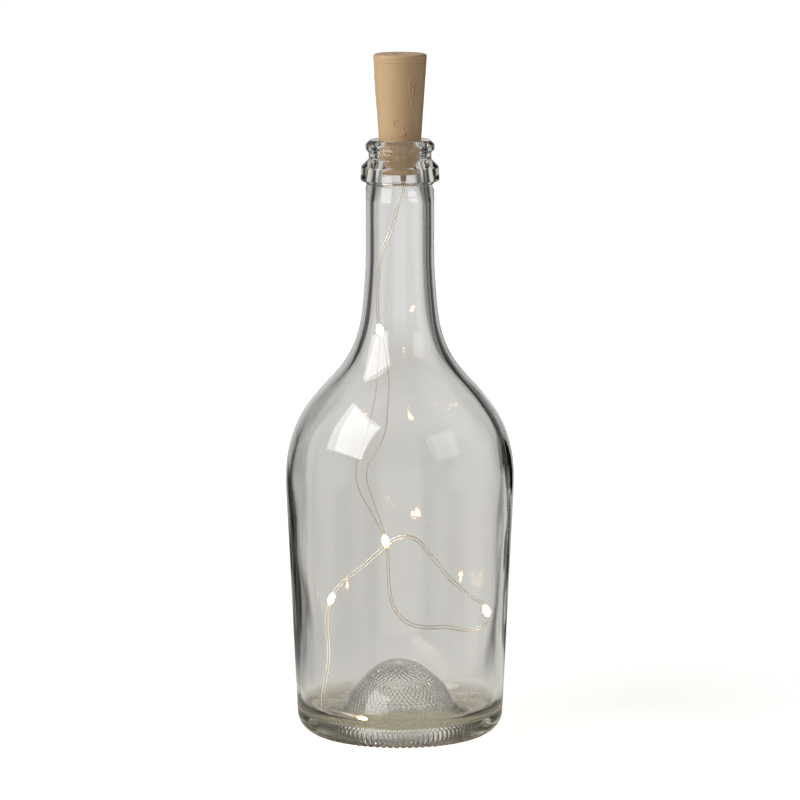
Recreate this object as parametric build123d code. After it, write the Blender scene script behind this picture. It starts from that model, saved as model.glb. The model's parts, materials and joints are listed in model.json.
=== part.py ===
from build123d import *
import math
import os

# A cork bottle light: a clear glass bottle, a cork-coloured battery stopper
# in its mouth, and a string of five small lights that hangs in the bottle.
# Millimetres, +Z up, with the origin in the middle of the bottle's foot.

# Bottle, outside
bottle_height = 252.2
bearing_inner_radius = 30.6
bearing_outer_radius = 34.6
heel_radius = 9.0
neck_length = 47.2
neck_radius = 14.4
shoulder_height = 101.0
shoulder_radius = 48.1
# height above the shoulder's start and radius beyond the neck's, as shares
shoulder_shares = [
    (0.060, 1.003),
    (0.208, 0.944),
    (0.327, 0.792),
    (0.446, 0.508),
    (0.564, 0.224),
    (0.683, 0.083),
    (0.822, 0.028),
]

# Bottle, inside
body_wall = 3.6
neck_wall = 3.4
base_thickness = 8.6
inner_heel_radius = 8.0
# places along the shoulder's curve where the wall is measured in from it
wall_shares = [0, 0.08, 0.2, 0.32, 0.44, 0.56, 0.7, 0.85, 1]
bore_depth = 14.0
bore_flare = 12.0
bore_flare_radius = 14.0

# Punt: radius and rise as shares, from the foot of the bell to its top
punt_foot_radius = 30.0
punt_height = 31.2
punt_glass = 5.0
punt_inner_shares = [(0.83, 0.12), (0.67, 0.46), (0.47, 0.73), (0.27, 0.92)]
punt_outer_shares = [(0.86, 0.13), (0.73, 0.35), (0.58, 0.60), (0.40, 0.81), (0.22, 0.94)]

# Knurl: grooves across the outer edge of the bearing ring
knurl_count = 84
knurl_groove_width = 1.8
knurl_groove_depth = 0.65
knurl_start_radius = 32.6
knurl_end_radius = 41.0
knurl_end_rise = 1.5

# Mouth: a rolled top ring over a wider lower ring
lower_ring_radius = 16.63
lower_ring_bottom = 17.6
lower_ring_top = 11.2
lower_ring_slope = 0.35
waist_radius = 13.2
waist_bottom = 8.1
waist_top = 5.4
top_ring_radius = 14.48
top_ring_bottom = 4.1
top_ring_top = 1.9
lip_radius = 12.5
lip_round = 1.3
ring_edge_radius = 0.9
ring_blend_radius = 1.6
waist_blend_radius = 1.3
bead_blend_radius = 0.9

# Stopper
stopper_length = 50.0
stopper_insert = 14.2
stopper_top_radius = 11.27
taper_share = 0.067
mouth_clearance = 0.05
shell_wall = 1.5
shell_floor = 1.8
shell_edge_radius = 0.8
cap_rim_height = 3.4
cap_edge_radius = 1.0
parting_chamfer = 0.15

# Cap, which plugs into the shell
cap_plate = 1.4
plug_depth = 4.0
plug_radius = 9.55
plug_wall = 0.95
plug_clearance = 0.05
plug_lead = 0.4
board_ledge = 0.6

# Cells and their sleeve
cell_count = 3
cell_radius = 5.8
cell_height = 5.4
cell_edge = 0.4
cell_cap_radius = 4.7
cell_cap_height = 0.35
cell_clearance = 0.1
sleeve_wall = 0.8
sleeve_floor = 1.0
flange_thickness = 1.2
flange_gap = 0.2
flange_clearance = 0.05

# Contacts
leaf_height = 1.3
leaf_thickness = 0.25
leaf_length = 8.0
leaf_width = 3.0
spring_height = 2.6
spring_wire = 0.5
spring_bottom_radius = 4.6
spring_top_radius = 2.2
spring_turns = 3
spring_seat_gap = 0.02
plate_radius = 5.4
plate_thickness = 0.3
strip_thickness = 0.3
strip_width = 2.0
strip_gap = 0.02
strip_foot = 1.6
strip_notch_clearance = 0.15

# Circuit board and switch
switch_room = 2.4
board_thickness = 1.0
board_clearance = 0.05
switch_length = 7.0
switch_width = 3.2
switch_height = 1.4
switch_slot_width = 1.7
switch_slot_depth = 0.9
switch_edge = 0.2
slider_clearance = 0.08
switch_travel = 2.0
knob_length = 2.2
knob_width = 2.2
knob_sink = 0.4
knob_foot = 0.45
knob_ridges = 3
knob_ridge_depth = 0.25
slot_clearance = 0.15
slot_corner_share = 0.25
thumb_dish_depth = 0.5
thumb_dish_margin = 1.1
terminal_count = 3
terminal_pitch = 2.2
terminal_width = 0.6
terminal_thickness = 0.2
terminal_reach = 0.9
resistor_length = 3.2
resistor_width = 1.6
resistor_height = 0.55
resistor_end = 0.5
resistor_offset = 4.4

# Wire gland in the stopper's floor
gland_offset = 1.4
gland_radius = 1.9
gland_flange_radius = 2.7
gland_flange = 0.8
gland_nipple_radius = 1.35
gland_tip_radius = 1.05
gland_nipple = 2.4
lead_hole_offset = 3.0
lead_hole_radius = 0.6
# the leads inside the stopper: shares of the way down, of the way across to
# the gland, and of how far each bows aside
lead_bow = 0.9
lead_shares = [(0, 0, 0), (0.25, 0, 0), (0.5, 0.24, 1), (0.75, 0.82, 0.65), (1, 1, 0)]

# Light string
wire_diameter = 0.5
wire_sides = 6
wire_spacing = 0.9
arc_share = 0.45
bead_length = 4.8
bead_radius = 1.4
bead_end_radius = 0.9
bead_belly_share = 0.35
chip_length = 1.6
chip_width = 0.9
chip_height = 0.5
chip_solder = 0.03

overrun = 1.0

# Places worked out from the sizes above
neck_start = bottle_height - neck_length
shoulder_start = neck_start - shoulder_height
stopper_bottom = bottle_height - stopper_insert
stopper_top = stopper_bottom + stopper_length
parting_height = stopper_top - cap_rim_height
plug_bottom = parting_height - plug_depth
board_top = stopper_top - cap_plate - switch_room
board_bottom = board_top - board_thickness
cells_top = board_bottom - leaf_height
cells_bottom = cells_top - cell_count * cell_height
plate_top = cells_bottom - spring_height
sleeve_floor_top = plate_top - plate_thickness
sleeve_bottom = sleeve_floor_top - sleeve_floor
sleeve_bore_radius = cell_radius + cell_clearance
sleeve_radius = sleeve_bore_radius + sleeve_wall
flange_top = plug_bottom - flange_gap
flange_bottom = flange_top - flange_thickness
counterbore_radius = plug_radius + plug_clearance
strip_face = sleeve_radius + strip_gap
shell_floor_top = stopper_bottom + shell_floor
gland_tip = stopper_bottom - gland_nipple
gland_top = shell_floor_top + gland_flange
switch_top = board_top + switch_height
wire_radius = wire_diameter / 2
half_spacing = wire_spacing / 2

# The string's middle line, from the gland to the last light, and half the
# distance between its two wires there: x, y, z and half distance.
string_points = [
    (1.4, 0.0, 235.6, 0.45),
    (1.5, 0.0, 231.0, 0.45),
    (-0.5, 0.2, 226.0, 0.50),
    (-2.2, 0.5, 219.5, 0.55),
    (-4.2, 0.2, 212.5, 0.55),
    (-7.6, -0.5, 205.5, 0.50),
    (-8.9, -1.0, 197.5, 0.45),
    (-9.4, -0.8, 189.0, 0.45),
    (-9.5, -0.4, 181.5, 0.45),
    (-9.2, 0.0, 175.0, 0.45),
    (-7.7, 0.2, 168.5, 0.45),
    (-7.6, 0.0, 159.0, 1.90),
    (-7.3, -1.0, 148.5, 2.50),
    (-7.9, -2.0, 139.5, 3.00),
    (-9.2, -2.2, 130.5, 3.70),
    (-12.0, -1.8, 122.0, 3.30),
    (-15.6, -0.4, 115.5, 2.50),
    (-16.8, 1.0, 108.0, 2.10),
    (-14.6, 2.2, 100.0, 2.00),
    (-10.6, 3.0, 92.0, 1.20),
    (-7.1, 3.2, 84.5, 0.45),
    (-5.4, 3.4, 77.0, 0.45),
    (-5.0, 3.2, 67.5, 0.55),
    (-4.1, 4.6, 58.5, 0.60),
    (-1.8, 6.8, 50.5, 0.60),
    (4.2, 9.2, 44.5, 0.60),
    (12.0, 11.0, 41.8, 0.60),
    (20.4, 11.0, 42.8, 0.60),
    (28.4, 9.2, 41.0, 0.60),
    (34.8, 7.2, 42.2, 0.50),
    (38.0, 6.0, 47.2, 0.45),
    (36.7, 7.0, 53.5, 0.45),
    (30.2, 9.6, 56.0, 0.55),
    (23.2, 12.8, 61.0, 0.60),
    (18.0, 15.2, 67.0, 0.60),
    (12.4, 16.8, 74.0, 0.60),
    (5.4, 18.2, 79.6, 0.60),
    (-1.6, 19.2, 79.4, 0.60),
    (-8.2, 20.2, 74.0, 0.60),
    (-15.0, 20.4, 67.6, 0.60),
    (-22.6, 19.6, 62.8, 0.55),
    (-28.2, 18.0, 57.4, 0.45),
    (-30.6, 16.2, 50.6, 0.45),
    (-31.2, 13.6, 42.5, 0.55),
    (-30.2, 9.6, 33.5, 0.60),
    (-30.8, 2.6, 24.0, 0.60),
    (-32.0, -5.0, 15.0, 0.60),
    (-31.8, -13.4, 10.2, 0.55),
    (-27.2, -20.0, 12.6, 0.50),
    (-21.8, -26.2, 12.0, 0.45),
    (-15.8, -30.2, 10.6, 0.45),
]
# Lights sit in the middle of a run, after this many runs, and on the last point
runs_count_before_light = [9, 20, 30, 41]


def at(radius, height):
    """A point of a turned outline."""
    return Vector(radius, 0, height)


def turned(*edges):
    """The solid that a closed half outline makes about the Z axis."""
    return revolve(make_face(Wire(list(edges))), Axis.Z)


def outlined(points, radii):
    """A half outline of straight lines with rounded corners."""
    return FilletPolyline(*points, radius=radii).edges()


def stopper_radius(height):
    return stopper_top_radius - taper_share * (stopper_top - height)


def shares_between(shares, foot, top):
    """Outline points from shares of a radius and of the way from foot to top."""
    return [at(foot.X * r, foot.Z + (top.Z - foot.Z) * z) for r, z in shares]


def shoulder_curve():
    """The outside of the shoulder, from the side's top to the neck's start."""
    side = at(shoulder_radius - bearing_outer_radius - heel_radius, shoulder_start - heel_radius)
    points = [at(shoulder_radius, shoulder_start)]
    for height_share, radius_share in shoulder_shares:
        radius = neck_radius + (shoulder_radius - neck_radius) * radius_share
        height = shoulder_start + (neck_start - shoulder_start) * height_share
        points.append(at(radius, height))
    points.append(at(neck_radius, neck_start))
    return Spline(*points, tangents=[side, at(0, 1)])


def shoulder_inside(curve):
    """The shoulder's curve moved in by the wall, which thins towards the neck."""
    points = []
    for share in wall_shares:
        along = curve % share
        wall = body_wall + (neck_wall - body_wall) * share
        points.append(curve @ share + wall * at(-along.Z, along.X))
    return Spline(*points, tangents=[curve % 0, curve % 1])


def heel_arc(centre, radius, lean):
    """A heel from flat on the ground to the lean of the side."""
    middle = (math.pi / 2 + lean) / 2
    return ThreePointArc(
        centre - at(0, radius),
        centre + radius * at(math.sin(middle - lean), -math.cos(middle - lean)),
        centre + radius * at(math.cos(lean), -math.sin(lean)),
    )


def bottle_outline():
    """The half outline of the glass, without the knurl."""
    shoulder = shoulder_curve()
    inside = shoulder_inside(shoulder)
    lean = math.atan2((shoulder % 0).X, (shoulder % 0).Z)
    heel = heel_arc(at(bearing_outer_radius, heel_radius), heel_radius, lean)
    inner_start = inside @ 0
    inner_heel_height = base_thickness + inner_heel_radius
    inner_side_radius = inner_start.X - (inner_start.Z - inner_heel_height) * math.tan(lean)
    inner_centre = at(inner_side_radius - inner_heel_radius, inner_heel_height)
    inner_heel = heel_arc(inner_centre, inner_heel_radius, lean)

    bore_radius = stopper_radius(bottle_height - lip_round) + mouth_clearance
    bore_bottom = bottle_height - bore_depth
    neck_inner_radius = (inside @ 1).X
    mouth = outlined(
        [
            shoulder @ 1,
            at(neck_radius, bottle_height - lower_ring_bottom),
            at(lower_ring_radius, bottle_height - lower_ring_bottom + lower_ring_slope),
            at(lower_ring_radius - lower_ring_slope, bottle_height - lower_ring_top),
            at(waist_radius, bottle_height - waist_bottom),
            at(waist_radius, bottle_height - waist_top),
            at(top_ring_radius, bottle_height - top_ring_bottom),
            at(top_ring_radius, bottle_height - top_ring_top),
            at(lip_radius, bottle_height),
            at(bore_radius, bottle_height),
            at(bore_radius, bore_bottom),
            at(neck_inner_radius, bore_bottom - bore_flare),
            inside @ 1,
        ],
        [
            0,
            ring_edge_radius,
            ring_blend_radius,
            waist_blend_radius,
            waist_blend_radius,
            bead_blend_radius,
            bead_blend_radius,
            lip_round,
            lip_round,
            bore_flare_radius,
            bore_flare_radius,
        ],
    )

    punt_foot = at(punt_foot_radius, base_thickness)
    punt_top = at(0, punt_height)
    bell = Spline(
        punt_foot,
        *shares_between(punt_inner_shares, punt_foot, punt_top),
        punt_top,
        tangents=[at(-1, 0), at(-1, 0)],
    )
    bearing_inner = at(bearing_inner_radius, 0)
    hollow_top = at(0, punt_height - punt_glass)
    hollow = Spline(
        hollow_top,
        *reversed(shares_between(punt_outer_shares, bearing_inner, hollow_top)),
        bearing_inner,
        tangents=[at(1, 0), at(1, -1)],
    )
    return [
        Line(bearing_inner, heel @ 0),
        heel,
        Line(heel @ 1, shoulder @ 0),
        shoulder,
        *mouth,
        inside,
        Line(inside @ 0, inner_heel @ 1),
        inner_heel,
        Line(inner_heel @ 0, punt_foot),
        bell,
        Line(punt_top, hollow_top),
        hollow,
    ]


def knurl_grooves():
    """V-shaped grooves that start under the bearing ring and run out over the heel."""
    start = at(knurl_start_radius, -knurl_groove_depth)
    end = at(knurl_end_radius, knurl_end_rise)
    section = Plane(origin=start, x_dir=(0, 1, 0), z_dir=end - start) * Polygon(
        (0, knurl_groove_depth),
        (-knurl_groove_width / 2, 0),
        (-knurl_groove_width / 2, -knurl_groove_depth),
        (knurl_groove_width / 2, -knurl_groove_depth),
        (knurl_groove_width / 2, 0),
        align=None,
    )
    groove = extrude(section, (end - start).length)
    return [Rot(0, 0, 360 / knurl_count * i) * groove for i in range(knurl_count)]


def bottle():
    return turned(*bottle_outline()) - knurl_grooves()


def stopper_shell():
    """The tapered housing, open at the top, with a ledge for the sleeve."""
    ledge_radius = stopper_radius(flange_bottom) - shell_wall
    edge = stopper_radius(stopper_bottom)
    rim = stopper_radius(parting_height)
    outline = [
        at(0, stopper_bottom),
        at(edge, stopper_bottom),
        at(rim, parting_height - parting_chamfer),
        at(rim - parting_chamfer, parting_height),
        at(counterbore_radius, parting_height),
        at(counterbore_radius, flange_bottom),
        at(ledge_radius, flange_bottom),
        at(stopper_radius(shell_floor_top) - shell_wall, shell_floor_top),
        at(0, shell_floor_top),
    ]
    wall = turned(*outlined(outline, [shell_edge_radius, 0, 0, 0, 0, 0, 0]), Line(outline[-1], outline[0]))
    hole = Pos(gland_offset, 0, stopper_bottom) * Cylinder(
        gland_radius, 2 * shell_floor + 2 * overrun
    )
    return wall - hole


def top_cap():
    """The lid: a rim, a plug that fits the shell, and a slot for the knob."""
    plug_inner = plug_radius - plug_wall
    cavity_top = stopper_top - cap_plate
    rim = stopper_radius(parting_height)
    outline = [
        at(0, stopper_top),
        at(stopper_top_radius, stopper_top),
        at(rim, parting_height + parting_chamfer),
        at(rim - parting_chamfer, parting_height),
        at(plug_radius, parting_height),
        at(plug_radius, plug_bottom + plug_lead),
        at(plug_radius - plug_lead, plug_bottom),
        at(plug_inner, plug_bottom),
        at(plug_inner, board_top),
        at(plug_inner - board_ledge, board_top),
        at(plug_inner - board_ledge, cavity_top),
        at(0, cavity_top),
    ]
    lid = turned(
        *outlined(outline, [cap_edge_radius] + [0] * (len(outline) - 3)),
        Line(outline[-1], outline[0]),
    )
    slot_length = knob_length + switch_travel + 2 * slot_clearance
    slot_width = knob_width + 2 * slot_clearance
    slot = Pos(0, 0, stopper_top) * extrude(
        RectangleRounded(slot_length, slot_width, slot_width * slot_corner_share),
        cap_plate + overrun,
        both=True,
    )
    dish_width = slot_width + 2 * thumb_dish_margin
    dish = Pos(0, 0, stopper_top) * extrude(
        SlotOverall(slot_length + 2 * thumb_dish_margin, dish_width),
        thumb_dish_depth,
        both=True,
    )
    return lid - slot - dish


def wire_path(points):
    """Straight runs joined by arcs as wide as the runs beside them allow."""
    spots = [Vector(p) for p in points]
    runs = [b - a for a, b in zip(spots, spots[1:])]
    radii = []
    for before, after in zip(runs, runs[1:]):
        turn = math.radians(before.get_angle(after))
        radii.append(arc_share * min(before.length, after.length) / math.tan(turn / 2))
    return FilletPolyline(*spots, radius=radii), radii


def wire_tube(points, name):
    """A round wire along a route, with its radii and its volume printed."""
    path, radii = wire_path(points)
    section = Plane(origin=path @ 0, z_dir=path % 0) * RegularPolygon(wire_radius, wire_sides)
    tube = sweep(section, path=path)
    expected = section.area * path.length
    print(
        f"{name}: length {path.length:.1f}, least arc radius {min(radii):.1f}, "
        f"volume over section times length {tube.volume / expected:.4f}"
    )
    print(f"{name} radii:", " ".join(f"{r:.1f}" for r in radii))
    return tube


def left_of(way):
    """The way to the left of a run, square to it, as seen from the front."""
    return Vector(-way.Z, 0, way.X).normalized()


def string_wire(side, name):
    """One wire of the string, on one side of its middle line."""
    spots = [Vector(*p[:3]) for p in string_points]
    ways = [(b - a).normalized() for a, b in zip(spots, spots[1:])]
    turns = zip([ways[0], *ways], [*ways, ways[-1]])
    sides = [left_of(before + after) for before, after in turns]
    halves = [side * p[3] for p in string_points]
    return wire_tube([p + half * left for p, half, left in zip(spots, halves, sides)], name)


def light_planes():
    """Where each light sits: X across the wires, Z along them, Y to its front."""
    spots = [Vector(*p[:3]) for p in string_points]
    runs = [(spots[i], spots[i + 1]) for i in runs_count_before_light]
    places = [(a + b) / 2 for a, b in runs] + [spots[-1]]
    ways = [b - a for a, b in runs] + [spots[-1] - spots[-2]]
    return [Plane(origin=p, x_dir=left_of(w), z_dir=w) for p, w in zip(places, ways)]


def led_chip(plane):
    """A square chip that lies across the two wires."""
    lift = wire_radius + chip_solder + chip_height / 2
    body = Box(chip_length, chip_height, chip_width)
    return plane * (Pos(0, lift, 0) * body)


def led_bead(plane, wires, chip):
    """A drop of clear resin round the chip and the wires."""
    end, belly = bead_length / 2, bead_length * bead_belly_share / 2
    outline = [
        at(0, -end),
        at(bead_end_radius, -end),
        at(bead_radius, -belly),
        at(bead_radius, belly),
        at(bead_end_radius, end),
        at(0, end),
    ]
    bead = plane * (Rot(0, 0, 90) * turned(*Polyline(*outline, close=True).edges()))
    for piece in [*wires, chip]:
        bead -= piece
    return bead


def biarc(start, start_way, end, end_way):
    """Two arcs that leave start and reach end in the given directions."""
    span = end - start
    both = start_way + end_way
    a = 2 * (1 - start_way.dot(end_way))
    b = span.dot(both)
    reach = (math.sqrt(b * b + a * span.dot(span)) - b) / a
    joint = (start + end + reach * (start_way - end_way)) / 2
    first = TangentArc(start, joint, tangent=start_way)
    second = TangentArc(joint, end, tangent=first % 1)
    return [first, second]


def contact_spring():
    """A conical spring, one unbroken wire, wide end down."""
    low = plate_top + spring_wire / 2 + spring_seat_gap
    high = cells_bottom - spring_wire / 2 - spring_seat_gap
    steps = 4 * spring_turns
    spots = []
    for i in range(steps + 1):
        share = i / steps
        radius = spring_bottom_radius + (spring_top_radius - spring_bottom_radius) * share
        angle = math.pi / 2 * i
        spots.append((radius, angle, low + (high - low) * share))
    fall = (spring_top_radius - spring_bottom_radius) / (spring_turns * 2 * math.pi)
    climb = (high - low) / (spring_turns * 2 * math.pi)
    points = [Vector(r * math.cos(a), r * math.sin(a), z) for r, a, z in spots]
    ways = [
        Vector(
            fall * math.cos(a) - r * math.sin(a), fall * math.sin(a) + r * math.cos(a), climb
        ).normalized()
        for r, a, z in spots
    ]
    edges = []
    for i in range(steps):
        edges += biarc(points[i], ways[i], points[i + 1], ways[i + 1])
    path = Wire(edges)
    pitch = math.hypot(
        (spring_bottom_radius - spring_top_radius) / spring_turns, (high - low) / spring_turns
    )
    print(f"contact_spring: least gap between turns {pitch - spring_wire:.2f}")
    section = RegularPolygon(spring_wire / 2, wire_sides)
    return sweep(Plane(origin=path @ 0, z_dir=path % 0) * section, path=path)


def battery_sleeve():
    """The cup that holds the cells, with a flange on the shell's ledge."""
    flange_radius = counterbore_radius - flange_clearance
    outline = [
        at(0, sleeve_bottom),
        at(sleeve_radius, sleeve_bottom),
        at(sleeve_radius, flange_bottom),
        at(flange_radius, flange_bottom),
        at(flange_radius, flange_top),
        at(sleeve_bore_radius, flange_top),
        at(sleeve_bore_radius, sleeve_floor_top),
        at(0, sleeve_floor_top),
    ]
    cup = turned(*Polyline(*outline, close=True).edges())
    lead_hole = Pos(-lead_hole_offset, 0, sleeve_bottom) * Cylinder(
        lead_hole_radius, 2 * sleeve_floor + 2 * overrun
    )
    notch_depth = strip_thickness + 2 * strip_notch_clearance
    notch = Pos(sleeve_radius + notch_depth / 2, 0, flange_top) * Box(
        notch_depth, strip_width + 2 * strip_notch_clearance, 2 * flange_thickness + 2 * overrun
    )
    return cup - lead_hole - notch


def cell(index):
    """A button cell, its narrow pole down and its can up."""
    bottom = cells_bottom + index * cell_height
    shoulder = bottom + cell_cap_height
    top = bottom + cell_height
    outline = [
        at(0, bottom),
        at(cell_cap_radius, bottom),
        at(cell_cap_radius, shoulder),
        at(cell_radius - cell_edge, shoulder),
        at(cell_radius, shoulder + cell_edge),
        at(cell_radius, top - cell_edge),
        at(cell_radius - cell_edge, top),
        at(0, top),
    ]
    return turned(*Polyline(*outline, close=True).edges())


def strip_of_metal(points, thickness, width):
    """A bent strip: its middle line in the XZ plane, given its thickness and width."""
    line = Polyline(*[(x, z) for x, z in points])
    outline = offset(line, amount=thickness / 2, side=Side.BOTH, kind=Kind.INTERSECTION)
    return extrude(Plane.XZ * make_face(outline.edges()), width / 2, both=True)


def positive_contact():
    """A bent leaf between the board and the top cell."""
    high = board_bottom - leaf_thickness / 2
    low = cells_top + leaf_thickness / 2
    half = leaf_length / 2
    bend = half / 3
    return strip_of_metal(
        [(-half, high), (-bend, high), (bend, low), (half - bend, low), (half, (high + low) / 2)],
        leaf_thickness,
        leaf_width,
    )


def contact_strip():
    """A brass strip up the side of the sleeve, from the feed lead to the board."""
    middle = strip_face + strip_thickness / 2
    toe = board_bottom - strip_thickness / 2
    foot = sleeve_bottom - strip_thickness / 2
    return strip_of_metal(
        [(middle - strip_foot, foot), (middle, foot), (middle, toe), (middle - strip_foot / 2, toe)],
        strip_thickness,
        strip_width,
    )


def negative_plate():
    return Pos(0, 0, sleeve_floor_top + plate_thickness / 2) * Cylinder(
        plate_radius, plate_thickness
    )


def circuit_board():
    """A round board, pressed up against the cap's ledge."""
    radius = plug_radius - plug_wall - board_clearance
    return Pos(0, 0, board_bottom + board_thickness / 2) * Cylinder(radius, board_thickness)


def resistor():
    """A chip resistor: a ceramic body between two metal ends."""
    body_length = resistor_length - 2 * resistor_end
    height = board_top + resistor_height / 2
    centre = Pos(0, -resistor_offset, height)
    end_place = (resistor_length - resistor_end) / 2
    ends = [
        centre * Pos(side * end_place, 0, 0) * Box(resistor_end, resistor_width, resistor_height)
        for side in (-1, 1)
    ]
    return Compound(children=[centre * Box(body_length, resistor_width, resistor_height), *ends])


def switch_body():
    """The slide switch's case, with a slot that its slider runs in."""
    case = Pos(0, 0, board_top + switch_height / 2) * Box(
        switch_length, switch_width, switch_height
    )
    case = chamfer(case.faces().sort_by(Axis.Z)[-1].edges(), switch_edge)
    slot = Pos(0, 0, switch_top) * Box(
        knob_length + switch_travel + 2 * slider_clearance,
        switch_slot_width,
        2 * switch_slot_depth,
    )
    return case - slot


def switch_terminals():
    """Three pins from the switch's side down to the board."""
    place = switch_width / 2 + terminal_reach / 2
    pins = [
        Pos((i - (terminal_count - 1) / 2) * terminal_pitch, place, board_top + terminal_thickness / 2)
        * Box(terminal_width, terminal_reach, terminal_thickness)
        for i in range(terminal_count)
    ]
    return Compound(children=pins)


def switch_knob():
    """The slider at its ON end: a tongue in the switch, a foot and a ridged grip."""
    place = switch_travel / 2
    grip_top = stopper_top - knob_sink
    foot_bottom = switch_top + slider_clearance
    tongue_bottom = switch_top - switch_slot_depth + slider_clearance
    tongue_width = switch_slot_width - 2 * slider_clearance
    tongue = Pos(place, 0, (tongue_bottom + foot_bottom) / 2) * Box(
        knob_length, tongue_width, foot_bottom - tongue_bottom
    )
    foot = Pos(place, 0, foot_bottom + knob_foot / 2) * Box(
        knob_length, knob_width + 2 * slot_clearance, knob_foot
    )
    grip_bottom = foot_bottom + knob_foot
    grip = Pos(place, 0, (grip_bottom + grip_top) / 2) * Box(
        knob_length, knob_width, grip_top - grip_bottom
    )
    pitch = knob_length / (knob_ridges + 1)
    grooves = [
        Pos(place + (i - (knob_ridges - 1) / 2) * pitch, 0, grip_top)
        * Rot(90, 0, 0)
        * Cylinder(knob_ridge_depth, knob_width + 2 * overrun)
        for i in range(knob_ridges)
    ]
    return tongue + foot + grip - grooves


def wire_gland():
    """A soft plug: a flange on the floor inside and a nipple below it."""
    outline = [
        at(0, gland_top),
        at(gland_flange_radius, gland_top),
        at(gland_flange_radius, shell_floor_top),
        at(gland_radius, shell_floor_top),
        at(gland_radius, stopper_bottom),
        at(gland_nipple_radius, stopper_bottom),
        at(gland_tip_radius, gland_tip),
        at(0, gland_tip),
    ]
    return Pos(gland_offset, 0, 0) * turned(*Polyline(*outline, close=True).edges())


def lead_points(top, foot, bow):
    """A lead's route inside the stopper, from its contact down to the gland."""
    way = foot - top
    return [
        top + Vector(way.X * across, bow * aside, way.Z * down)
        for down, across, aside in lead_shares
    ]


def inner_leads():
    feed_top = at(strip_face - strip_foot / 2, sleeve_bottom - strip_thickness)
    return_top = at(-lead_hole_offset, sleeve_floor_top)
    feed_foot = at(gland_offset + half_spacing, gland_top)
    return_foot = at(gland_offset - half_spacing, gland_top)
    return Compound(
        children=[
            wire_tube(lead_points(feed_top, feed_foot, lead_bow), "feed lead"),
            wire_tube(lead_points(return_top, return_foot, -lead_bow), "return lead"),
        ]
    )


def all_parts():
    """Every sub-part by its name."""
    parts = {
        "bottle": bottle(),
        "stopper_shell": stopper_shell(),
        "top_cap": top_cap(),
        "battery_sleeve": battery_sleeve(),
        "contact_spring": contact_spring(),
        "negative_plate": negative_plate(),
        "positive_contact": positive_contact(),
        "contact_strip": contact_strip(),
        "circuit_board": circuit_board(),
        "resistor": resistor(),
        "switch_body": switch_body(),
        "switch_terminals": switch_terminals(),
        "switch_knob": switch_knob(),
        "wire_gland": wire_gland(),
        "inner_leads": inner_leads(),
        "feed_wire": string_wire(1, "feed_wire"),
        "return_wire": string_wire(-1, "return_wire"),
    }
    for i in range(cell_count):
        parts[f"cell_{i + 1}"] = cell(i)
    wires = [parts["feed_wire"], parts["return_wire"]]
    for i, plane in enumerate(light_planes()):
        chip = led_chip(plane)
        parts[f"led_chip_{i + 1}"] = chip
        parts[f"led_bead_{i + 1}"] = led_bead(plane, wires, chip)
    return parts


os.makedirs("parts", exist_ok=True)
for name, shape in all_parts().items():
    export_step(shape, f"parts/{name}.step")
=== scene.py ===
import bmesh
import bpy
import json
import math
import numpy as np
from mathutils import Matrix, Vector


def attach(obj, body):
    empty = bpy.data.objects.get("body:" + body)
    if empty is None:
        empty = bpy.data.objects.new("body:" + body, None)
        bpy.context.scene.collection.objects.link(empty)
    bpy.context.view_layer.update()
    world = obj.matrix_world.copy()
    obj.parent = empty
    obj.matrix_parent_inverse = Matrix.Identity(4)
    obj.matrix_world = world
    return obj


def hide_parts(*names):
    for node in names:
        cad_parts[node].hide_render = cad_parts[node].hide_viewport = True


# A clear bottle with a cork-coloured battery stopper and a string of five small lights inside.
# Lengths below are millimetres, multiplied by mm where a mesh is made. +Z is up and the
# camera looks along +Y.
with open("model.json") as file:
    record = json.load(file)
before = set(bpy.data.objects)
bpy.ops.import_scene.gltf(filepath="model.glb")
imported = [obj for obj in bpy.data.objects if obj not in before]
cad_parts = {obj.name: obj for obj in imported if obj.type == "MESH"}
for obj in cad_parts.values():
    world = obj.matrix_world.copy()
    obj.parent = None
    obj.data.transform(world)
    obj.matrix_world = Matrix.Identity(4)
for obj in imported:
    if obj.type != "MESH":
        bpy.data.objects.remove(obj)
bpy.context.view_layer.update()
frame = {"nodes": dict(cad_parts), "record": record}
mm = 0.001


def linearColor(code):
    parts = [int(code[i : i + 2], 16) / 255 for i in (1, 3, 5)]
    return [c / 12.92 if c <= 0.04045 else ((c + 0.055) / 1.055) ** 2.4 for c in parts] + [1.0]


def addNode(tree, kind, inputs=None, **settings):
    # inputs are named or numbered sockets, each with a value, a socket or a node to link
    node = tree.nodes.new(kind)
    for name, value in settings.items():
        setattr(node, name, value)
    for key, value in (inputs or {}).items():
        if isinstance(value, bpy.types.Node):
            value = value.outputs[0]
        if isinstance(value, bpy.types.NodeSocket):
            tree.links.new(value, node.inputs[key])
        else:
            node.inputs[key].default_value = value
    return node


def newMaterial(name):
    material = bpy.data.materials.new(name)
    material.use_nodes = True
    material.node_tree.nodes.clear()
    return material, material.node_tree


def closeMaterial(tree, surface, volume=None):
    inputs = {"Surface": surface}
    if volume is not None:
        inputs["Volume"] = volume
    addNode(tree, "ShaderNodeOutputMaterial", inputs)


def meshObject(name, mesh):
    thing = bpy.data.objects.new(name, mesh)
    bpy.context.collection.objects.link(thing)
    return thing


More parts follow.
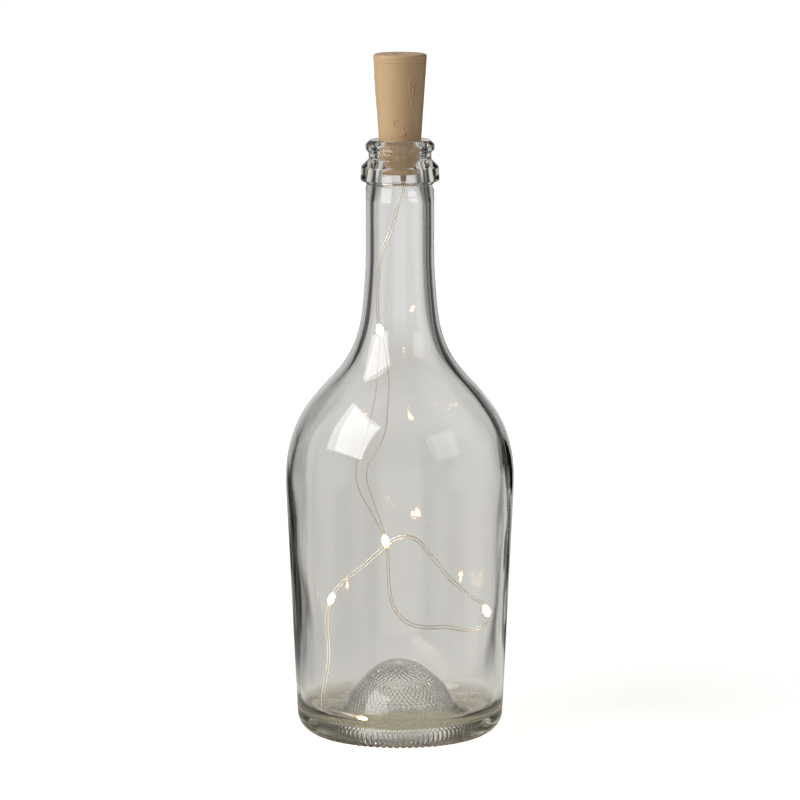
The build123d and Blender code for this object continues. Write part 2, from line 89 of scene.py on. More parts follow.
def splineThrough(points, startWay, endWay, steps):
    # a smooth curve through the points, which leaves and arrives in the given ways
    spots = np.array(points, float)
    spans = np.linalg.norm(np.diff(spots, axis=0), axis=1)
    count = len(spots)
    matrix, right = np.zeros((count, count)), np.zeros((count, spots.shape[1]))
    matrix[0, 0] = matrix[-1, -1] = 1
    right[0] = np.array(startWay, float) / np.linalg.norm(startWay)
    right[-1] = np.array(endWay, float) / np.linalg.norm(endWay)
    for i in range(1, count - 1):
        a, b = spans[i - 1], spans[i]
        matrix[i, i - 1 : i + 2] = b, 2 * (a + b), a
        right[i] = 3 * (b * (spots[i] - spots[i - 1]) / a + a * (spots[i + 1] - spots[i]) / b)
    slopes = np.linalg.solve(matrix, right)
    places = np.concatenate([[0], np.cumsum(spans)])
    result = []
    for s in np.linspace(0, places[-1], steps + 1):
        i = min(int(np.searchsorted(places, s, side="right")) - 1, count - 2)
        h = spans[i]
        t = (s - places[i]) / h
        result.append(
            (2 * t**3 - 3 * t**2 + 1) * spots[i]
            + (t**3 - 2 * t**2 + t) * h * slopes[i]
            + (3 * t**2 - 2 * t**3) * spots[i + 1]
            + (t**3 - t**2) * h * slopes[i + 1]
        )
    return [tuple(p) for p in result]


def roundedLine(points, radii, steps=6):
    # straight lines with rounded corners; a radius of 0 keeps a corner sharp
    result = [points[0]]
    for before, corner, after, radius in zip(points, points[1:], points[2:], radii):
        a, c, b = Vector(before), Vector(corner), Vector(after)
        if not radius:
            result.append(tuple(c))
            continue
        wayIn, wayOut = (c - a).normalized(), (b - c).normalized()
        turn = wayIn.angle(wayOut)
        reach = radius * math.tan(turn / 2)
        start = c - wayIn * reach
        side = Vector((-wayIn.y, wayIn.x))
        side = side if side.dot(wayOut) > 0 else -side
        centre = start + side * radius
        for i in range(steps + 1):
            angle = turn * i / steps
            result.append(tuple(centre - side * radius * math.cos(angle) + wayIn * radius * math.sin(angle)))
    result.append(points[-1])
    return result


def heelArc(centre, radius, lean, steps):
    # from flat on the ground round to the lean of the side
    angles = [(math.pi / 2 - lean) * i / steps for i in range(steps + 1)]
    return [(centre[0] + radius * math.sin(a), centre[1] - radius * math.cos(a)) for a in angles]


def latheMesh(name, profile, columns, marks=()):
    # turns a profile of (radius, height) about Z; a radius of 0 is a pole.
    # marks are point attributes, each a name with one value for every profile point.
    mesh = bmesh.new()
    layers = [mesh.verts.layers.float.new(label) for label, values in marks]
    rings = []
    for i, (radius, height) in enumerate(profile):
        count = 1 if radius < 1e-6 else columns
        ring = []
        for j in range(count):
            angle = 2 * math.pi * j / columns
            vert = mesh.verts.new(
                (radius * math.cos(angle) * mm, radius * math.sin(angle) * mm, height * mm)
            )
            for layer, (label, values) in zip(layers, marks):
                value = values[i]
                vert[layer] = value[j % len(value)] if isinstance(value, list) else value
            ring.append(vert)
        rings.append(ring)
    for low, high in zip(rings, rings[1:]):
        for j in range(columns):
            k = (j + 1) % columns
            corners = [low[j % len(low)], low[k % len(low)], high[k % len(high)], high[j % len(high)]]
            mesh.faces.new(list(dict.fromkeys(corners)))
    bmesh.ops.recalc_face_normals(mesh, faces=mesh.faces)
    for face in mesh.faces:
        face.smooth = True
    data = bpy.data.meshes.new(name)
    mesh.to_mesh(data)
    mesh.free()
    return data


def bakeNodes(thing, tree, values, material):
    # runs a geometry tree on a piece and keeps its result as a plain mesh
    modifier = thing.modifiers.new(tree.name, "NODES")
    modifier.node_group = tree
    items = [s for s in tree.interface.items_tree if s.item_type == "SOCKET" and s.in_out == "INPUT"]
    sockets = {s.name: s.identifier for s in items}
    for label, value in values.items():
        modifier[sockets[label]] = value
    bpy.context.view_layer.update()
    evaluated = thing.evaluated_get(bpy.context.evaluated_depsgraph_get())
    mesh = bpy.data.meshes.new_from_object(evaluated)
    thing.modifiers.clear()
    thing.data = mesh
    mesh.name = thing.name
    mesh.materials.clear()
    mesh.materials.append(material)
    return thing


def treeWithInputs(name, sockets):
    tree = bpy.data.node_groups.new(name, "GeometryNodeTree")
    tree.interface.new_socket(name="Geometry", in_out="INPUT", socket_type="NodeSocketGeometry")
    for label, kind in sockets.items():
        tree.interface.new_socket(name=label, in_out="INPUT", socket_type=kind)
    tree.interface.new_socket(name="Geometry", in_out="OUTPUT", socket_type="NodeSocketGeometry")
    return tree, addNode(tree, "NodeGroupInput")


def closeTree(tree, geometry, material):
    real = addNode(tree, "GeometryNodeRealizeInstances", {"Geometry": geometry})
    done = addNode(tree, "GeometryNodeSetMaterial", {"Geometry": real, "Material": material})
    addNode(tree, "NodeGroupOutput", {"Geometry": done})


def mathNode(tree, operation, a, b=0.0, c=0.0):
    return addNode(tree, "ShaderNodeMath", {0: a, 1: b, 2: c}, operation=operation)


def rangeNode(tree, value, low, high, fromLow=0.0, fromHigh=1.0):
    # spreads a value over low to high
    inputs = {"Value": value, "From Min": fromLow, "From Max": fromHigh, "To Min": low, "To Max": high}
    return addNode(tree, "ShaderNodeMapRange", inputs)


def noiseNode(tree, vector, size, detail):
    # a pattern of about this size in mm
    return addNode(tree, "ShaderNodeTexNoise", {"Vector": vector, "Scale": 1 / (size * mm), "Detail": detail})


def bumpNode(tree, height, distance, strength, normal=None):
    inputs = {"Height": height, "Distance": distance * mm, "Strength": strength}
    if normal is not None:
        inputs["Normal"] = normal
    return addNode(tree, "ShaderNodeBump", inputs)


def colorMix(tree, share, first, second):
    # each colour is a hex code or a socket
    first, second = [linearColor(c) if isinstance(c, str) else c for c in (first, second)]
    return addNode(tree, "ShaderNodeMix", {0: share, 6: first, 7: second}, data_type="RGBA").outputs[2]


def stretchNode(tree, vector, upright):
    # draws a pattern out along the height
    return addNode(tree, "ShaderNodeMapping", {"Vector": vector, "Scale": (1.0, 1.0, upright)})


def objectPlace(tree):
    return addNode(tree, "ShaderNodeTexCoord").outputs["Object"]


def paintedMaterial(name, make):
    # one principled surface, with its inputs from make
    material, tree = newMaterial(name)
    closeMaterial(tree, addNode(tree, "ShaderNodeBsdfPrincipled", make(tree, objectPlace(tree))))
    return material


flintGlassLook = {
    "color": "#FFFFFF",
    "ior": 1.52,
    "roughness": 0.0,
    "shadow": "#E6E5E2",
    "mouthShadow": "#584F46",  # the thick rings turn most of a lamp's light aside
    "mouthHeights": (224.0, 236.0),
    "depthTint": (0.90, 0.87, 0.74, 1.0),
    "depthDensity": 28.0,  # per metre
    "peelSize": 7.0,
    "peelHeight": 0.012,
}


def makeFlintGlass():
    # soda-lime flint glass, blown and fire polished: clear, with a faint orange peel
    look = flintGlassLook
    material, tree = newMaterial("flintGlassFirePolished")
    place = objectPlace(tree)
    peel = noiseNode(tree, place, look["peelSize"], 1.0)
    glassInputs = {
        "Base Color": linearColor(look["color"]),
        "Roughness": look["roughness"],
        "IOR": look["ior"],
        "Transmission Weight": 1.0,
        "Normal": bumpNode(tree, peel, look["peelHeight"], 1.0),
    }
    glass = addNode(tree, "ShaderNodeBsdfPrincipled", glassInputs)
    height = addNode(tree, "ShaderNodeSeparateXYZ", {0: place}).outputs["Z"]
    low, high = look["mouthHeights"]
    atMouth = rangeNode(tree, height, 0.0, 1.0, low * mm, high * mm)
    shadow = colorMix(tree, atMouth, look["shadow"], look["mouthShadow"])
    through = addNode(tree, "ShaderNodeBsdfTransparent", {"Color": shadow})
    ray = addNode(tree, "ShaderNodeLightPath")
    depth = addNode(
        tree, "ShaderNodeVolumeAbsorption", {"Color": look["depthTint"], "Density": look["depthDensity"]}
    )
    surface = addNode(tree, "ShaderNodeMixShader", {0: ray.outputs["Is Shadow Ray"], 1: glass, 2: through})
    closeMaterial(tree, surface, depth)
    return material


corkPlasticLook = {
    "light": "#D9B78E",
    "dark": "#CCA97E",
    "mottleSize": 4.0,
    "dragWidth": 0.9,  # faint lines drawn down the side as it left the mould
    "dragStretch": 0.02,
    "dragHeight": 0.03,
    "grainSize": 0.4,
    "grainHeight": 0.012,
    "bumpStrength": 0.6,
    "roughness": (0.36, 0.50),
    "ior": 1.53,
}


def makeCorkPlastic():
    # injection-moulded ABS in a cork colour: satin and even, with drag lines and a fine spark grain
    look = corkPlasticLook

    def inputs(tree, place):
        mottle = noiseNode(tree, place, look["mottleSize"], 3.0)
        drag = noiseNode(tree, stretchNode(tree, place, look["dragStretch"]), look["dragWidth"], 2.0)
        halves = [mathNode(tree, "MULTIPLY", part, 0.5) for part in (mottle, drag)]
        grain = noiseNode(tree, place, look["grainSize"], 2.0)
        fine = bumpNode(tree, grain, look["grainHeight"], look["bumpStrength"])
        return {
            "Base Color": colorMix(tree, mathNode(tree, "ADD", *halves), look["dark"], look["light"]),
            "Roughness": rangeNode(tree, drag, *look["roughness"]),
            "IOR": look["ior"],
            "Normal": bumpNode(tree, drag, look["dragHeight"], look["bumpStrength"], fine),
        }

    return paintedMaterial("corkColouredAbsMoulded", inputs)


mouldedLook = {"roughnessSpread": 0.08, "grainHeight": 0.02, "bumpStrength": 0.5, "ior": 1.5}


def makeMoulded(name, dark, light, roughness, grainSize, ior=mouldedLook["ior"]):
    # a moulded plastic or rubber: two close shades and a fine grain
    look = mouldedLook

    def inputs(tree, place):
        grain = noiseNode(tree, place, grainSize, 2.0)
        spread = look["roughnessSpread"]
        return {
            "Base Color": colorMix(tree, grain, dark, light),
            "Roughness": rangeNode(tree, grain, roughness - spread, roughness + spread),
            "IOR": ior,
            "Normal": bumpNode(tree, grain, look["grainHeight"], look["bumpStrength"]),
        }

    return paintedMaterial(name, inputs)


metalLook = {"stretch": 0.08, "smoother": 0.07, "rougher": 0.12, "lineHeight": 0.008, "bumpStrength": 0.4}


def makeMetal(name, dark, light, roughness, lineSize):
    # a drawn, tinned or rolled metal: fine lines along one way and a little tarnish
    look = metalLook

    def inputs(tree, place):
        lines = noiseNode(tree, stretchNode(tree, place, look["stretch"]), lineSize, 3.0)
        return {
            "Base Color": colorMix(tree, lines, dark, light),
            "Metallic": 1.0,
            "Roughness": rangeNode(tree, lines, roughness - look["smoother"], roughness + look["rougher"]),
            "Normal": bumpNode(tree, lines, look["lineHeight"], look["bumpStrength"]),
        }

    return paintedMaterial(name, inputs)


resinLook = {
    "color": "#FFF8EA",
    "core": "#FFEBBC",
    "tip": "#FFB24A",
    "coreStrength": 26.0,
    "tipStrength": 0.75,
    "roughness": 0.04,
    "ior": 1.5,
    "dimpleSize": 0.8,
    "dimpleHeight": 0.03,
    "bumpStrength": 0.5,
}


def makeResin():
    # ultraviolet-cured clear resin: glossy, lit white-hot over its chip and amber towards its ends
    look = resinLook

    def inputs(tree, place):
        dimple = noiseNode(tree, place, look["dimpleSize"], 1.0)
        core = addNode(tree, "ShaderNodeAttribute", attribute_name="core").outputs["Fac"]
        return {
            "Base Color": linearColor(look["color"]),
            "Roughness": look["roughness"],
            "IOR": look["ior"],
            "Transmission Weight": 1.0,
            "Emission Color": colorMix(tree, core, look["tip"], look["core"]),
            "Emission Strength": rangeNode(tree, core, look["tipStrength"], look["coreStrength"]),
            "Normal": bumpNode(tree, dimple, look["dimpleHeight"], look["bumpStrength"]),
        }

    return paintedMaterial("clearResinLit", inputs)


phosphorLook = {
    "coat": "#F6D58A",
    "dim": "#FFDA9C",
    "bright": "#FFE9C4",
    "speckSize": 0.3,
    "roughness": 0.5,
    "strength": 60.0,
}


def makePhosphor():
    # the chip's phosphor coat, lit, with faint specks
    look = phosphorLook

    def inputs(tree, place):
        speck = noiseNode(tree, place, look["speckSize"], 1.0)
        return {
            "Base Color": linearColor(look["coat"]),
            "Roughness": look["roughness"],
            "Emission Color": colorMix(tree, speck, look["dim"], look["bright"]),
            "Emission Strength": look["strength"],
        }

    return paintedMaterial("warmWhitePhosphorLit", inputs)


flintGlass = makeFlintGlass()
corkPlastic = makeCorkPlastic()
looks = {
    "cork_plastic": corkPlastic,
    "black_plastic": makeMoulded("blackNylonMoulded", "#161616", "#232322", 0.45, 0.3),
    "white_plastic": makeMoulded("whiteAbsMoulded", "#DEDED8", "#E8E8E2", 0.35, 0.4),
    "gland_rubber": makeMoulded("softGlandMoulded", "#A98E6C", "#B89C78", 0.6, 0.3),
    "board_laminate": makeMoulded("glassEpoxyLaminate", "#12401F", "#1C5A2C", 0.35, 0.25, 1.55),
    "resistor_ceramic": makeMoulded("chipResistorCoat", "#17181B", "#26272B", 0.4, 0.2),
    "tinned_metal": makeMetal("tinnedSpringSteel", "#B4B4AE", "#D6D6D0", 0.3, 0.15),
    "contact_brass": makeMetal("stampedBrass", "#C39A4C", "#DDB868", 0.3, 0.15),
    "cell_steel": makeMetal("nickelPlatedCan", "#ABABA6", "#CACAC4", 0.25, 0.2),
    "enamelled_copper": makeMetal("enamelledCopperWire", "#EFE0C8", "#FFFAF0", 0.34, 0.4),
    "led_phosphor": makePhosphor(),
    "clear_resin": makeResin(),
    "flint_glass": flintGlass,
}
print("materials made:", len(looks))


bottle = {
    "height": 252.2,
    "bearingInner": 30.6,
    "bearingOuter": 34.6,
    "heel": 9.0,
    "neckLength": 47.2,
    "neckRadius": 14.4,
    "shoulderHeight": 101.0,
    "shoulderRadius": 48.1,
    "bodyWall": 3.6,
    "neckWall": 3.4,
    "base": 8.6,
    "innerHeel": 8.0,
    "puntFoot": 30.0,
    "puntHeight": 31.2,
    "puntGlass": 5.0,
    "boreDepth": 14.0,
    "boreRadius": 8.92,
    "boreFlare": 12.0,
    # the mouth's outside as radius and depth below the top, each corner with its rounding
    "mouthCorners": [
        (16.63, 17.25, 0.9), (16.28, 11.2, 1.6), (13.2, 8.1, 1.3), (13.2, 5.4, 1.3),
        (14.48, 4.1, 0.9), (14.48, 1.9, 0.9), (12.5, 0.0, 1.3),
    ],
    "neckRise": 17.6,
    "boreEdge": 1.3,
    "columns": 336,
    "waveHeight": 0.6,
    "waveLength": 34.0,
    "waveFade": 30.0,  # how far under the bore the waves reach their full height
    "waveRadii": (12.0, 40.0),
    "rippleLength": 8.0,
    "rippleShare": 0.16,
    "knurlCount": 84,
    "knurlDepth": 0.65,
    "knurlRadii": (32.4, 34.6),
    "knurlHeights": (3.4, 0.9),
    "knurlWidth": 0.36,  # share of the way from one groove to the next
    "stippleHeight": 0.38,
    "dotSpacing": 1.4,  # coarser than the real dots, so that they show
    "dotCounts": (112, 84, 56, 42, 28, 14),
    "dotRadii": (1.5, 29.5),
    "bearingHeight": 0.4,
    "bearingReach": 35.5,
}
# height above the shoulder's start and radius beyond the neck's, as shares
shoulderShares = [
    (0.060, 1.003), (0.208, 0.944), (0.327, 0.792), (0.446, 0.508),
    (0.564, 0.224), (0.683, 0.083), (0.822, 0.028),
]
# radius and height of the punt's inside and underside, as shares
bellShares = [(0.83, 0.12), (0.67, 0.46), (0.47, 0.73), (0.27, 0.92)]
hollowShares = [(0.86, 0.13), (0.73, 0.35), (0.58, 0.60), (0.40, 0.81), (0.22, 0.94)]


def bottleProfile():
    # the whole outline from the hollow's top out round the foot and up, then down inside
    b = bottle
    top, neckStart = b["height"], b["height"] - b["neckLength"]
    shoulderStart = neckStart - b["shoulderHeight"]
    hollowTop = b["puntHeight"] - b["puntGlass"]
    hollow = splineThrough(
        [(0, hollowTop)]
        + [(b["bearingInner"] * r, hollowTop * z) for r, z in reversed(hollowShares)]
        + [(b["bearingInner"], 0)],
        (1, 0), (1, -1), 60,
    )
    side = (b["shoulderRadius"] - b["bearingOuter"] - b["heel"], shoulderStart - b["heel"])
    lean = math.atan2(*side)
    heel = heelArc((b["bearingOuter"], b["heel"]), b["heel"], lean, 12)
    neck, reach = b["neckRadius"], b["shoulderRadius"] - b["neckRadius"]
    shoulder = splineThrough(
        [(b["shoulderRadius"], shoulderStart)]
        + [(neck + reach * r, shoulderStart + b["shoulderHeight"] * z) for z, r in shoulderShares]
        + [(neck, neckStart)],
        side, (0, 1), 34,
    )
    inner = []
    for i, spot in enumerate(shoulder):
        before, after = shoulder[max(i - 1, 0)], shoulder[min(i + 1, len(shoulder) - 1)]
        way = Vector((after[0] - before[0], after[1] - before[1])).normalized()
        wall = b["bodyWall"] + (b["neckWall"] - b["bodyWall"]) * i / (len(shoulder) - 1)
        inner.append((spot[0] - wall * way.y, spot[1] + wall * way.x))
    innerNeck = neck - b["neckWall"]
    corners = b["mouthCorners"]
    mouth = roundedLine(
        [(neck, neckStart), (neck, top - b["neckRise"])]
        + [(radius, top - depth) for radius, depth, rounding in corners]
        + [
            (b["boreRadius"], top), (b["boreRadius"], top - b["boreDepth"]),
            (innerNeck, top - b["boreDepth"] - b["boreFlare"]), (innerNeck, neckStart),
        ],
        [0.3] + [rounding for radius, depth, rounding in corners] + [b["boreEdge"], 14.0, 14.0], 5,
    )
    innerHeelHeight = b["base"] + b["innerHeel"]
    innerSide = inner[0][0] - (inner[0][1] - innerHeelHeight) * math.tan(lean)
    innerHeel = heelArc((innerSide - b["innerHeel"], innerHeelHeight), b["innerHeel"], lean, 9)
    bell = splineThrough(
        [(b["puntFoot"], b["base"])]
        + [(b["puntFoot"] * r, b["base"] + (b["puntHeight"] - b["base"]) * z) for r, z in bellShares]
        + [(0, b["puntHeight"])],
        (-1, 0), (-1, 0), 26,
    )
    downSide = [tuple(Vector(inner[0]).lerp(Vector(innerHeel[-1]), i / 18)) for i in range(1, 18)]
    floor = [tuple(Vector(innerHeel[0]).lerp(Vector(bell[0]), i / 3)) for i in range(1, 3)]
    bearing = [tuple(Vector(hollow[-1]).lerp(Vector(heel[0]), i / 5)) for i in range(1, 5)]
    outNeck = [tuple(Vector(mouth[0]).lerp(Vector(mouth[1]), i / 4)) for i in range(1, 4)]
    downNeck = [tuple(Vector(mouth[-2]).lerp(Vector(mouth[-1]), i / 8)) for i in range(1, 8)]
    parts = [
        ("stipple", hollow), ("foot", bearing), ("foot", heel), ("out", shoulder), ("out", outNeck),
        ("out", mouth[1:-1]), ("in", downNeck), ("in", inner[::-1]), ("in", downSide),
        ("in", innerHeel[::-1]), ("floor", floor), ("floor", bell),
    ]
    return [(zone, spot) for zone, spots in parts for spot in spots]


def stippleRow(row, radius):
    # dots in every second row, offset like bricks
    if row % 2:
        return [0.0]
    counts, spacing = bottle["dotCounts"], bottle["dotSpacing"]
    room = 2 * math.pi * radius * 0.95
    count = next((n for n in counts if n * spacing < room), counts[-1])
    step = bottle["columns"] // count
    shift = (row // 2 % 2) * step // 2
    around = [min((j + shift) % step, step - (j + shift) % step) for j in range(bottle["columns"])]
    return [1.0 if away == 0 else 0.3 if away < step / 3.5 else -0.35 for away in around]


def finishTree():
    # grooves across the foot's edge, dots under the punt and slow waves in the inside wall
    floats = ["Knurl Depth", "Wave Height", "Wave Length", "Ripple Length", "Ripple Share", "Dot Height"]
    sockets = {"Knurl Count": "NodeSocketInt", **{name: "NodeSocketFloat" for name in floats}}
    tree, inputs = treeWithInputs("glassSurface", {**sockets, "Glass": "NodeSocketMaterial"})
    given = inputs.outputs

    def calc(operation, a, b):
        return mathNode(tree, operation, a, b)

    def mark(name):
        return addNode(tree, "GeometryNodeInputNamedAttribute", {"Name": name}, data_type="FLOAT")

    def unevenness(place, flatten, length, detail):
        # noise about zero, drawn out along the bottle's height
        factors = (1.0, 1.0, flatten)
        drawn = addNode(tree, "ShaderNodeVectorMath", {0: place, 1: factors}, operation="MULTIPLY")
        scale = calc("DIVIDE", 1.0, length)
        noiseInputs = {"Vector": drawn, "Scale": scale, "Detail": detail, "Roughness": 0.4}
        return calc("SUBTRACT", addNode(tree, "ShaderNodeTexNoise", noiseInputs), 0.5)

    place = addNode(tree, "GeometryNodeInputPosition")
    axes = addNode(tree, "ShaderNodeSeparateXYZ", {0: place})
    angle = calc("ARCTAN2", axes.outputs["Y"], axes.outputs["X"])
    turns = calc("MULTIPLY", calc("DIVIDE", angle, 2 * math.pi), given["Knurl Count"])
    phase = calc("PINGPONG", turns, 0.5)
    groove = calc("MAXIMUM", calc("SUBTRACT", 1.0, calc("DIVIDE", phase, bottle["knurlWidth"])), 0.0)
    depth = calc("MULTIPLY", given["Knurl Depth"], -1.0)
    cut = calc("MULTIPLY", calc("MULTIPLY", groove, mark("knurled")), depth)
    slow = unevenness(place, 0.8, given["Wave Length"], 1.5)
    ripple = calc("MULTIPLY", unevenness(place, 0.35, given["Ripple Length"], 0.5), given["Ripple Share"])
    swell = calc("MULTIPLY", calc("ADD", slow, ripple), calc("MULTIPLY", given["Wave Height"], 2.0))
    wave = calc("MULTIPLY", swell, mark("wavy"))
    dots = calc("MULTIPLY", mark("dots"), given["Dot Height"])
    amount = calc("ADD", calc("ADD", cut, wave), dots)
    normal = addNode(tree, "GeometryNodeInputNormal")
    offset = addNode(tree, "ShaderNodeVectorMath", {0: normal, "Scale": amount}, operation="SCALE")
    moved = addNode(tree, "GeometryNodeSetPosition", {"Geometry": given["Geometry"], "Offset": offset})
    closeTree(tree, moved, given["Glass"])
    return tree


def smoothStep(low, high, value):
    share = min(max((value - low) / (high - low), 0), 1)
    return share * share * (3 - 2 * share)


def bottleMarks(zones):
    # for each point of the outline: how wavy, knurled and dotted the glass is there
    b = bottle
    boreBottom = b["height"] - b["boreDepth"]
    wavy, knurled, dots = [], [], []
    for i, (zone, (radius, height)) in enumerate(zones):
        strength = 0.3 if zone == "floor" and radius > 1 else 0.0
        if zone == "in":
            strength = smoothStep(boreBottom, boreBottom - b["waveFade"], height)
        wavy.append(strength * (0.35 + 0.65 * smoothStep(*b["waveRadii"], radius)))
        grooves = smoothStep(*b["knurlRadii"], radius) * smoothStep(*b["knurlHeights"], height)
        knurled.append(grooves if zone == "foot" else 0.0)
        isDotted = zone == "stipple" and b["dotRadii"][0] < radius < b["dotRadii"][1]
        isBearing = zone == "foot" and height < b["bearingHeight"] and radius < b["bearingReach"]
        dots.append(stippleRow(i, radius) if isDotted else [-0.5, 0.0] if isBearing else 0.0)
    return [("wavy", wavy), ("knurled", knurled), ("dots", dots)]


def makeBottle():
    zones = bottleProfile()
    profile = [spot for zone, spot in zones]
    profile[0], profile[-1] = (0, profile[0][1]), (0, profile[-1][1])
    mesh = latheMesh("bottleGlass", profile, bottle["columns"], bottleMarks(zones))
    thing = meshObject("bottleGlass", mesh)
    values = {
        "Knurl Count": bottle["knurlCount"],
        "Knurl Depth": bottle["knurlDepth"] * mm,
        "Wave Height": bottle["waveHeight"] * mm,
        "Wave Length": bottle["waveLength"] * mm,
        "Ripple Length": bottle["rippleLength"] * mm,
        "Ripple Share": bottle["rippleShare"],
        "Dot Height": bottle["stippleHeight"] * mm,
        "Glass": flintGlass,
    }
    bakeNodes(thing, finishTree(), values, flintGlass)
    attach(thing, "bottle")
    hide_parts("bottle")
    return thing


bottleGlass = makeBottle()
print("bottle turned:", len(bottleGlass.data.polygons), "faces")


string = {"diameter": 0.5, "feedLength": 406.7, "returnLength": 413.8, "ringSides": 4}
# x, y, z of the middle line and half the distance between its two wires, in mm
stringPoints = [
    (1.4, 0.0, 235.6, 0.45), (1.5, 0.0, 231.0, 0.45), (-0.5, 0.2, 226.0, 0.50), (-2.2, 0.5, 219.5, 0.55),
    (-4.2, 0.2, 212.5, 0.55), (-7.6, -0.5, 205.5, 0.50), (-8.9, -1.0, 197.5, 0.45), (-9.4, -0.8, 189.0, 0.45),
    (-9.5, -0.4, 181.5, 0.45), (-9.2, 0.0, 175.0, 0.45), (-7.7, 0.2, 168.5, 0.45), (-7.6, 0.0, 159.0, 1.90),
    (-7.3, -1.0, 148.5, 2.50), (-7.9, -2.0, 139.5, 3.00), (-9.2, -2.2, 130.5, 3.70), (-12.0, -1.8, 122.0, 3.30),
    (-15.6, -0.4, 115.5, 2.50), (-16.8, 1.0, 108.0, 2.10), (-14.6, 2.2, 100.0, 2.00), (-10.6, 3.0, 92.0, 1.20),
    (-7.1, 3.2, 84.5, 0.45), (-5.4, 3.4, 77.0, 0.45), (-5.0, 3.2, 67.5, 0.55), (-4.1, 4.6, 58.5, 0.60),
    (-1.8, 6.8, 50.5, 0.60), (4.2, 9.2, 44.5, 0.60), (12.0, 11.0, 41.8, 0.60), (20.4, 11.0, 42.8, 0.60),
    (28.4, 9.2, 41.0, 0.60), (34.8, 7.2, 42.2, 0.50), (38.0, 6.0, 47.2, 0.45), (36.7, 7.0, 53.5, 0.45),
    (30.2, 9.6, 56.0, 0.55), (23.2, 12.8, 61.0, 0.60), (18.0, 15.2, 67.0, 0.60), (12.4, 16.8, 74.0, 0.60),
    (5.4, 18.2, 79.6, 0.60), (-1.6, 19.2, 79.4, 0.60), (-8.2, 20.2, 74.0, 0.60), (-15.0, 20.4, 67.6, 0.60),
    (-22.6, 19.6, 62.8, 0.55), (-28.2, 18.0, 57.4, 0.45), (-30.6, 16.2, 50.6, 0.45), (-31.2, 13.6, 42.5, 0.55),
    (-30.2, 9.6, 33.5, 0.60), (-30.8, 2.6, 24.0, 0.60), (-32.0, -5.0, 15.0, 0.60), (-31.8, -13.4, 10.2, 0.55),
    (-27.2, -20.0, 12.6, 0.50), (-21.8, -26.2, 12.0, 0.45), (-15.8, -30.2, 10.6, 0.45),
]
runsBeforeLight = [9, 20, 30, 41]  # lights sit in the middle of a run, and one on the last point


def leftOf(way):
    return Vector((-way.z, 0, way.x)).normalized()


def wirePoints(side):
    spots = [Vector(p[:3]) for p in stringPoints]
    ways = [(b - a).normalized() for a, b in zip(spots, spots[1:])]
    turns = zip([ways[0], *ways], [*ways, ways[-1]])
    return [p + side * row[3] * leftOf(a + b) for p, row, (a, b) in zip(spots, stringPoints, turns)]


def lightPlaces():
    spots = [Vector(p[:3]) for p in stringPoints]
    runs = [(spots[i], spots[i + 1]) for i in runsBeforeLight]
    places = [(a + b) / 2 for a, b in runs] + [spots[-1]]
    ways = [(b - a).normalized() for a, b in runs] + [(spots[-1] - spots[-2]).normalized()]
    return places, ways


def makeWire(name, side, node):
    curve = bpy.data.curves.new(name, "CURVE")
    curve.dimensions = "3D"
    points = wirePoints(side)
    line = curve.splines.new("NURBS")
    line.points.add(len(points) - 1)
    for point, spot in zip(line.points, points):
        point.co = (*(spot * mm), 1)
    line.order_u = 3
    line.use_endpoint_u = True
    curve.resolution_u = 8
    curve.bevel_depth = string["diameter"] / 2 * mm
    curve.bevel_resolution = string["ringSides"]
    curve.use_fill_caps = True
    curve.materials.append(looks["enamelled_copper"])
    wire = bpy.data.objects.new(name, curve)
    bpy.context.collection.objects.link(wire)
    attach(wire, "stopper")
    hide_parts(node)
    return wire


light = {
    "length": 5.0,
    "radius": 1.38,
    "tip": 0.55,
    "fullness": 0.8,  # below 1 the drop is rounder in its middle
    "coreReach": 0.30,  # share of the half length that glows white-hot
    "chip": (1.6, 0.5, 0.9),
    "chipEdge": 0.12,
    "lift": 0.53,
}


def dropMesh():
    # a drop of resin drawn out along the wires at both ends
    half, steps = light["length"] / 2, 24
    profile = [(0, -half)]
    for i in range(steps + 1):
        share = i / steps * 2 - 1
        swell = math.cos(share * math.pi / 2) ** light["fullness"]
        profile.append((light["tip"] + (light["radius"] - light["tip"]) * swell, half * share))
    profile.append((0, half))
    core = [math.exp(-((height / half / light["coreReach"]) ** 2)) for radius, height in profile]
    return latheMesh("resinDrop", profile, 24, [("core", core)])


def chipMesh():
    # the chip's block with softened edges
    mesh = bmesh.new()
    bmesh.ops.create_cube(mesh, size=1)
    width, depth, height = light["chip"]
    for vert in mesh.verts:
        vert.co = Vector((vert.co.x * width, vert.co.y * depth + light["lift"], vert.co.z * height)) * mm
    bmesh.ops.bevel(mesh, geom=mesh.edges, offset=light["chipEdge"] * mm, segments=2, affect="EDGES")
    data = bpy.data.meshes.new("ledChip")
    mesh.to_mesh(data)
    mesh.free()
    return data


def lightsTree():
    # one copy of a piece at each light's place, turned along its wires
    sockets = {"Piece": "NodeSocketObject", "Size": "NodeSocketFloat", "Finish": "NodeSocketMaterial"}
    tree, inputs = treeWithInputs("lightsOnString", sockets)
    given = inputs.outputs
    way, left = [
        addNode(tree, "GeometryNodeInputNamedAttribute", {"Name": name}, data_type="FLOAT_VECTOR")
        for name in ("way", "left")
    ]
    axes = {"primary_axis": "Z", "secondary_axis": "X"}
    piece = addNode(tree, "GeometryNodeObjectInfo", {"Object": given["Piece"]})
    placing = {
        "Points": given["Geometry"],
        "Instance": piece.outputs["Geometry"],
        "Rotation": addNode(tree, "FunctionNodeAxesToRotation", {0: way, 1: left}, **axes),
        "Scale": given["Size"],
    }
    closeTree(tree, addNode(tree, "GeometryNodeInstanceOnPoints", placing), given["Finish"])
    return tree


